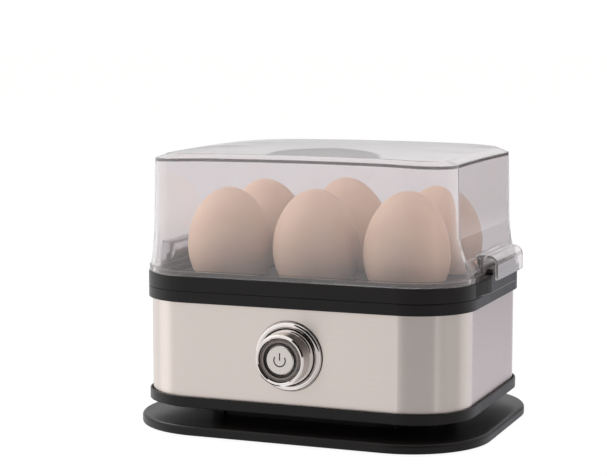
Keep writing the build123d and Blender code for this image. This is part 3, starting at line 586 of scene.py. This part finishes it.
# a coil between the stem's flange and the switch carrier
coil = {
    "turns": 6,
    "steps": 240,
    "wire": 0.5,
    "corners": 10,
    "radius": 3.2,
    "front": -71.72,
    "back": -52.43,
    "seat": -52.125,
    "keep": 0.92,  # of its length, with the button pressed
}
turn = np.linspace(0, coil["turns"] * math.tau, coil["steps"])
spoke = np.stack([np.cos(turn), 0 * turn, np.sin(turn)], -1)
path = coil["radius"] * spoke
path[:, 1] = np.linspace(coil["front"], coil["back"], coil["steps"])
path[:, 2] += axisHeight
around = np.linspace(0, math.tau, coil["corners"], endpoint=False)
section = coil["wire"] / 2 * np.stack([np.cos(around), np.sin(around)], -1)
points, faces = sweep(path, spoke, -toFront, section)
spring = addPiece("returnSpring", points, faces, finishes["spring_steel"], "base", smooth=True)
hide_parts("button_spring")
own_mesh(spring)

print("ear ramps")
# each ear of the tray grows out of the rim by a ramp at both ends
ramp = {
    # how far out from the casing's middle, how far inside the ear's end, and how high the ramp is
    "outline": [
        (88.6, 0.4, 84.75),
        (88.6, -15.6, 82.3),
        (90.6, -9.5, 82.9),
        (92.2, -4.0, 83.8),
        (92.8, -1.4, 84.5),
        (92.97, -0.1, 84.75),
        (92.97, 0.4, 84.75),
    ],
    "end": 24.5,  # of the ear, from the casing's middle
    "low": 75.25,  # the ramp's foot
    # share of the height, and how far the outline is drawn in there
    "levels": [(0.0, 1.2), (0.12, 0.0), (0.95, 0.0), (1.0, 0.5)],
}
for sideName, side in (("Left", -1), ("Right", 1)):
    for endName, end in (("Front", 1), ("Rear", -1)):
        # the outline is repeated at each level, drawn in by the cut
        out, inside, top = np.array(ramp["outline"]).T
        share, cut = np.array(ramp["levels"]).T[:, :, None]
        x = side * np.maximum(out - cut, out.min())
        y = np.broadcast_to(end * (inside - ramp["end"]) + middleY, x.shape)
        z = ramp["low"] + share * (top - ramp["low"])
        layers = np.stack([x, y, z], -1)
        if side * end < 0:  # mirrored once, so the outline is taken the other way round
            layers = layers[:, ::-1]
        faces = tubeFaces(*x.shape)
        points = layers.reshape(-1, 3)
        name = "earRamp" + sideName + endName
        piece = addPiece(name, points, faces, finishes["black_plastic"], "tray")

print("stage, light and camera")
# places and sizes in metres
studio = {
    "floor": {"reach": 12.0, "colour": "#f2f2f2", "roughness": 0.9, "share": 0.9, "glow": 1.055},
    "lamps": {
        "keyLamp": {
            "watts": 20.0,
            "size": (1.0, 1.2),
            "place": (-1.5, -0.5, 1.0),
            "colour": (1.0, 0.98, 0.92),
        },
        "fillLamp": {
            "watts": 9.0,
            "size": (0.8, 1.2),
            "place": (1.6, 0.1, 0.8),
            "colour": (1.0, 0.86, 0.8),
        },
        "topLamp": {
            "watts": 11.0,
            "size": (1.4, 1.4),
            "place": (0, -0.2, 1.9),
            "colour": (1.0, 1.0, 1.0),
        },
    },
    "lampAim": (0, 0, 0.08),
    # the even light that matt surfaces get from all round
    "soft": 0.55,
    "softColour": (1.0, 0.88, 0.84, 1.0),
    # what metal and gloss mirror: dark cloths and bright cloths round the table,
    # by turn from the front towards the right and by height, in degrees
    "panels": {
        "highTent": {"turn": -124, "reach": 16, "low": 42, "high": 62, "soft": 8, "level": 9.0},
        "leftStrip": {"turn": -82, "reach": 8, "low": -60, "high": 60, "soft": 14, "level": 1.2},
        "frontCloth": {"turn": -36, "reach": 22, "low": -60, "high": 2, "soft": 6, "level": 0.86},
        "frontFlag": {"turn": 30, "reach": 42, "low": 7, "high": 60, "soft": 4, "level": 0.02},
        "frontFloor": {"turn": 21, "reach": 33, "low": -60, "high": 3, "soft": 3, "level": 0.6},
        "rightFlag": {"turn": 92, "reach": 12, "low": -60, "high": 25, "soft": 34, "level": 0.57},
        "rightTent": {"turn": 142, "reach": 12, "low": -60, "high": 60, "soft": 12, "level": 0.86},
        "rearFlag": {"turn": 166, "reach": 5, "low": -60, "high": -7, "soft": 2, "level": 0.7},
        "rearEdge": {"turn": 166, "reach": 6, "low": -5, "high": 6, "soft": 2, "level": 0.02},
        "rearTent": {"turn": 198, "reach": 22, "low": -60, "high": 2, "soft": 8, "level": 0.8},
        "rearSky": {"turn": 180, "reach": 80, "low": 3, "high": 60, "soft": 4, "level": 0.82},
    },
    # a round cloth far behind, which the crown of the lid mirrors
    "roundCloth": {"turn": -159.2, "height": 6.6, "radius": 1.9, "soft": 0.25, "level": 0.5},
    # below the table's edge the cloths behind it are a little cooler than those before it
    "cool": {"turn": 180, "reach": 30, "low": -90, "high": -4, "soft": 4},
    "coolColour": (0.985, 0.98, 1.07, 1.0),
}


def seenPlainly(tree):
    # 1 for what the camera sees, straight or through clear plastic
    rays = addNode(tree, "ShaderNodeLightPath").outputs
    return addNode(
        tree,
        "ShaderNodeMath",
        {0: rays["Is Camera Ray"], 1: rays["Is Transmission Ray"]},
        operation="ADD",
        use_clamp=True,
    ).outputs[0]


def whitePaper():
    # Matt paper that takes the object's shadow, and mostly glows where it is seen itself
    material, tree, shader, _ = newMaterial("whitePaper")
    paper = studio["floor"]
    connect(tree, shader, {"Base Color": linear(paper["colour"]), "Roughness": paper["roughness"]})
    share = addNode(
        tree, "ShaderNodeMath", {0: seenPlainly(tree), 1: paper["share"]}, operation="MULTIPLY"
    )
    glow = addNode(tree, "ShaderNodeEmission", {"Color": white, "Strength": paper["glow"]})
    mixed = addNode(
        tree,
        "ShaderNodeMixShader",
        {0: share.outputs[0], 1: shader.outputs[0], 2: glow.outputs[0]},
    )
    connect(tree, tree.nodes["Material Output"], {"Surface": mixed.outputs[0]})
    return material


reach = studio["floor"]["reach"]
floorCorners = [(-reach, -reach, 0), (reach, -reach, 0), (reach, reach, 0), (-reach, reach, 0)]
floorMesh = bpy.data.meshes.new("floor")
floorMesh.from_pydata(floorCorners, [], [(0, 1, 2, 3)])
floorMesh.materials.append(whitePaper())
floor = bpy.data.objects.new("floor", floorMesh)
bpy.context.scene.collection.objects.link(floor)
floor.visible_glossy = False  # metal and gloss mirror the cloths instead

world = bpy.data.worlds.new("studioWorld")
bpy.context.scene.world = world
world.use_nodes = True
sky = world.node_tree
sky.nodes.clear()

# heading is the turn from the front towards the right, height the angle above level, in degrees
way = addNode(sky, "ShaderNodeTexCoord").outputs["Generated"]
way = addNode(sky, "ShaderNodeSeparateXYZ", {0: way}).outputs
ahead = addNode(sky, "ShaderNodeMath", {0: way["Y"], 1: -1.0}, operation="MULTIPLY")
angles = [
    addNode(sky, "ShaderNodeMath", {0: way["X"], 1: ahead.outputs[0]}, operation="ARCTAN2"),
    addNode(sky, "ShaderNodeMath", {0: way["Z"]}, operation="ARCSINE"),
]
heading, height = (
    addNode(sky, "ShaderNodeMath", {0: angle.outputs[0]}, operation="DEGREES").outputs[0]
    for angle in angles
)


def band(value, low, high, soft):
    # 1 between low and high, falling smoothly to 0 over the soft width outside them
    slopes = [(low - soft, low, 0.0, 1.0), (high, high + soft, 1.0, 0.0)]
    rising, falling = (
        addNode(
            sky,
            "ShaderNodeMapRange",
            {"Value": value, "From Min": start, "From Max": end, "To Min": before, "To Max": after},
            interpolation_type="SMOOTHSTEP",
        ).outputs["Result"]
        for start, end, before, after in slopes
    )
    return addNode(sky, "ShaderNodeMath", {0: rising, 1: falling}, operation="MULTIPLY").outputs[0]


def awayFrom(turn):
    # degrees from that heading, the short way round
    offset = addNode(sky, "ShaderNodeMath", {0: heading, 1: turn}, operation="SUBTRACT")
    halfTurn = 180.0
    return addNode(
        sky, "ShaderNodeMath", {0: offset.outputs[0], 1: halfTurn, 2: -halfTurn}, operation="WRAP"
    ).outputs[0]


def cover(cloth):
    # 1 on the cloth, 0 well outside it
    across = band(awayFrom(cloth["turn"]), -cloth["reach"], cloth["reach"], cloth["soft"])
    along = band(height, cloth["low"], cloth["high"], cloth["soft"])
    return addNode(sky, "ShaderNodeMath", {0: across, 1: along}, operation="MULTIPLY").outputs[0]


roundCloth = studio["roundCloth"]
lift = addNode(sky, "ShaderNodeMath", {0: height, 1: roundCloth["height"]}, operation="SUBTRACT")
spot = addNode(
    sky, "ShaderNodeCombineXYZ", {0: awayFrom(roundCloth["turn"]), 1: lift.outputs[0]}
)
apart = addNode(sky, "ShaderNodeVectorMath", {0: spot.outputs[0]}, operation="LENGTH")
disc = band(apart.outputs["Value"], -1.0, roundCloth["radius"], roundCloth["soft"])
covers = [(disc, roundCloth["level"])]
covers += [(cover(panel), panel["level"]) for panel in studio["panels"].values()]
brightness = 1.0
for covered, level in covers:
    # each cloth takes the brightness to its level times what was there
    dimmed = addNode(
        sky, "ShaderNodeMath", {0: covered, 1: level - 1, 2: 1.0}, operation="MULTIPLY_ADD"
    )
    brightness = addNode(
        sky, "ShaderNodeMath", {0: brightness, 1: dimmed.outputs[0]}, operation="MULTIPLY"
    ).outputs[0]
tint = addNode(
    sky,
    "ShaderNodeMix",
    {"Factor": cover(studio["cool"]), colourA: white, colourB: studio["coolColour"]},
    data_type="RGBA",
)
soft = addNode(
    sky, "ShaderNodeBackground", {"Color": studio["softColour"], "Strength": studio["soft"]}
)
mirrored = addNode(
    sky, "ShaderNodeBackground", {"Color": tint.outputs[colourOut], "Strength": brightness}
)
plain = addNode(sky, "ShaderNodeBackground", {"Color": white, "Strength": 1.0})
glossy = addNode(sky, "ShaderNodeLightPath").outputs["Is Glossy Ray"]
light = addNode(
    sky, "ShaderNodeMixShader", {0: glossy, 1: soft.outputs[0], 2: mirrored.outputs[0]}
)
light = addNode(
    sky, "ShaderNodeMixShader", {0: seenPlainly(sky), 1: light.outputs[0], 2: plain.outputs[0]}
)
addNode(sky, "ShaderNodeOutputWorld", {"Surface": light.outputs[0]})

for name, row in studio["lamps"].items():
    lamp = bpy.data.lights.new(name, "AREA")
    lamp.shape = "RECTANGLE"
    lamp.size, lamp.size_y = row["size"]
    lamp.energy = row["watts"]
    lamp.color = row["colour"]
    holder = bpy.data.objects.new(name, lamp)
    bpy.context.scene.collection.objects.link(holder)
    holder.location = row["place"]
    # a lamp shines down its own Z axis, so that axis points back from the aim
    back = np.array(row["place"]) - np.array(studio["lampAim"])
    back = back / np.linalg.norm(back)
    pitch = math.acos(back[2])
    yaw = math.atan2(back[1], back[0]) + math.pi / 2
    holder.rotation_euler = (pitch, 0, yaw)
    holder.visible_glossy = False  # the cloths alone show in metal and gloss

# place, lens and sensor in mm, turns in degrees
cameraView = {
    "place": (329.125, -891.361 + middleY, 211.702),
    "yaw": 21.305424,
    "pitch": 6.879485,  # down from level
    "lens": 106.25282,
    "sensor": 36.0,
    "farthest": 20,  # in metres
}
camera = bpy.data.cameras.new("camera")
camera.lens = cameraView["lens"]
camera.sensor_width = cameraView["sensor"]
camera.clip_end = cameraView["farthest"]
cameraHolder = bpy.data.objects.new("camera", camera)
bpy.context.scene.collection.objects.link(cameraHolder)
cameraHolder.location = [value * mm for value in cameraView["place"]]
cameraTilt = math.radians(90 - cameraView["pitch"])
cameraHolder.rotation_euler = (cameraTilt, 0, math.radians(cameraView["yaw"]))
bpy.context.scene.camera = cameraHolder
bpy.context.scene.view_settings.view_transform = "Standard"

print("sizes")
